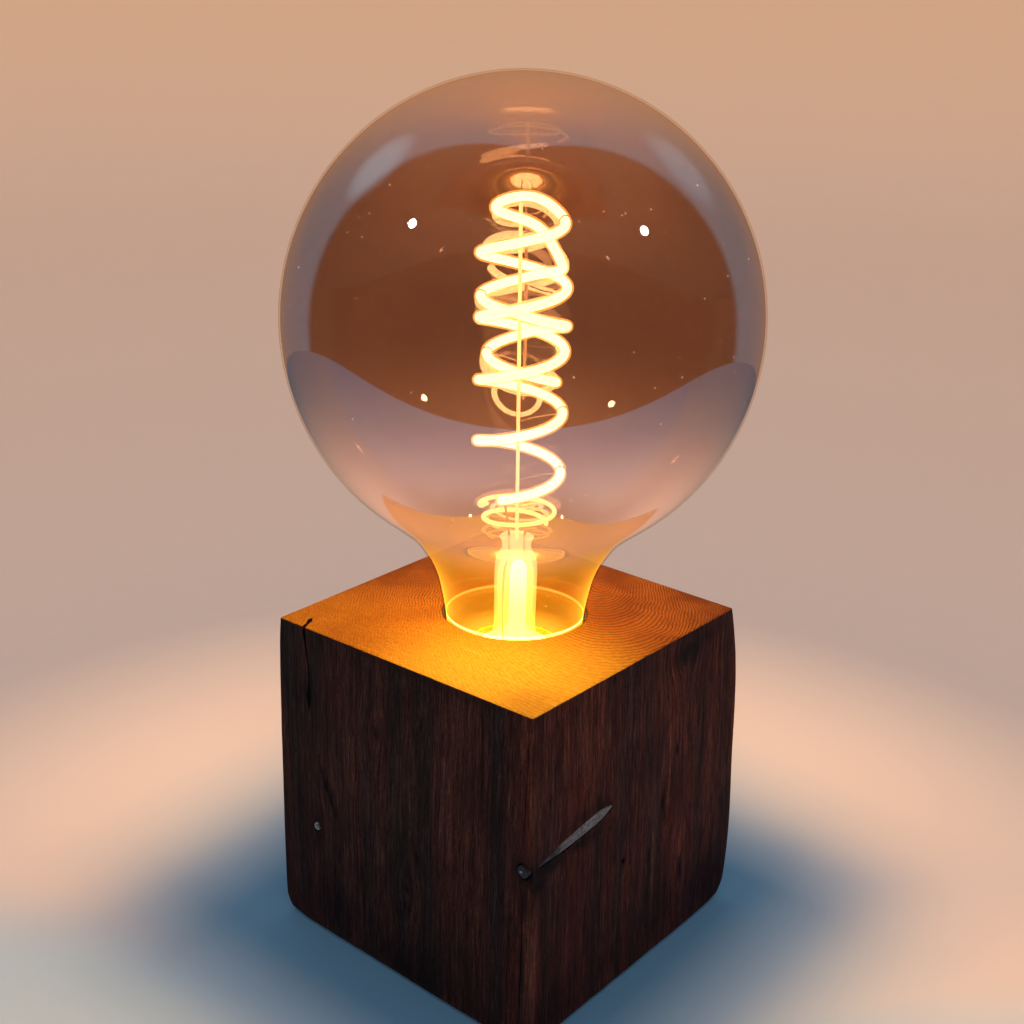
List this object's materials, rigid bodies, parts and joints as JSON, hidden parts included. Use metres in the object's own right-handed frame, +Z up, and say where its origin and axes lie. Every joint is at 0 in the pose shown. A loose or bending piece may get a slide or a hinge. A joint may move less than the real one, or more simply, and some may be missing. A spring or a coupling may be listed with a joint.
{
  "type": "bare bulb table lamp",
  "caption": "Table lamp made from a squared block of old timber, with a large smoked globe bulb standing bare in a bored hole in its top.",
  "frame": {"origin": "on the bulb's axis, on the surface that the lamp stands on", "axes": "+Z up along the bulb's axis, -Y the face that the picture shows at the left, +X the face that it shows at the right, +Y the back, with the cord inlet"},
  "size_m": [0.125, 0.125, 0.2368],
  "materials": {
    "timber": "old softwood, dark and dry, with sawn end grain",
    "old_iron": "old nail, worn bright on one side",
    "black_steel": "black, satin",
    "zinc_steel": "zinc plated",
    "felt": "pressed felt",
    "rubber": "matt",
    "bakelite": "moulded, semi-gloss",
    "porcelain": "glazed",
    "brass": "bright",
    "nickel": "nickel plated",
    "black_glass": "black glass insulator",
    "cement": "matt basing cement",
    "circuit_board": "white solder mask",
    "smoked_glass": "smoked, with a thin mirror coat",
    "clear_glass": "clear",
    "rod_glass": "clear rod, lit from all round",
    "lit_filament": "flexible filament, lit",
    "dim_filament": "flexible filament, dim"
  },
  "bodies": {
    "base": {"beam_block": "timber", "corner_nail": "old_iron", "side_nail": "old_iron", "base_plate": "black_steel", "base_screw_1": "zinc_steel", "base_screw_2": "zinc_steel", "base_screw_3": "zinc_steel", "base_screw_4": "zinc_steel", "felt_pad_1": "felt", "felt_pad_2": "felt", "felt_pad_3": "felt", "felt_pad_4": "felt", "cord_grommet": "rubber", "nipple": "zinc_steel", "nipple_washer": "zinc_steel", "nipple_nut": "zinc_steel", "holder_locknut": "zinc_steel", "holder_cup": "bakelite", "holder_skirt": "bakelite", "holder_insert": "porcelain", "live_terminal": "brass", "live_terminal_screw": "zinc_steel", "neutral_terminal": "brass", "neutral_terminal_screw": "zinc_steel", "shell_rivet": "brass", "screw_shell": "brass", "contact_spring": "zinc_steel"},
    "contact": {"contact_plunger": "brass"},
    "bulb_foot": {"cap_contact": "nickel", "cap_insulator": "black_glass"},
    "bulb": {"cap_shell": "nickel", "cap_cement": "cement", "driver_board": "circuit_board", "driver_capacitor": "bakelite", "driver_bridge": "bakelite", "driver_choke": "black_steel", "driver_wire_live": "nickel", "driver_wire_shell": "nickel", "glass_globe": "smoked_glass", "stem_glass": "clear_glass", "centre_rod": "rod_glass", "support_wire_1": "nickel", "support_wire_2": "nickel", "support_wire_3": "nickel", "support_wire_4": "nickel", "support_wire_5": "nickel", "filament": "lit_filament", "filament_tail": "dim_filament", "lead_wire_1": "nickel", "lead_wire_2": "nickel"}
  },
  "joints": [
    {"name": "contact_press", "type": "slide", "parent": "base", "child": "contact", "axis": [0, 0, -1], "range_m": [0, 0.001], "stiffness_N_per_m": 800, "springref_m": -0.001, "deforming": ["contact_spring"]},
    {"name": "bulb_rise", "type": "slide", "parent": "base", "child": "bulb_foot", "axis": [0, 0, 1], "range_m": [0, 0.0164]},
    {"name": "bulb_turn", "type": "hinge", "parent": "bulb_foot", "child": "bulb", "pos_m": [0, 0, 0.06], "axis": [0, 0, 1], "range_deg": [0, 1620]}
  ],
  "couplings": [
    {"joint": "bulb_rise", "follows": "bulb_turn", "m_per_rad": 0.00057757}
  ]
}
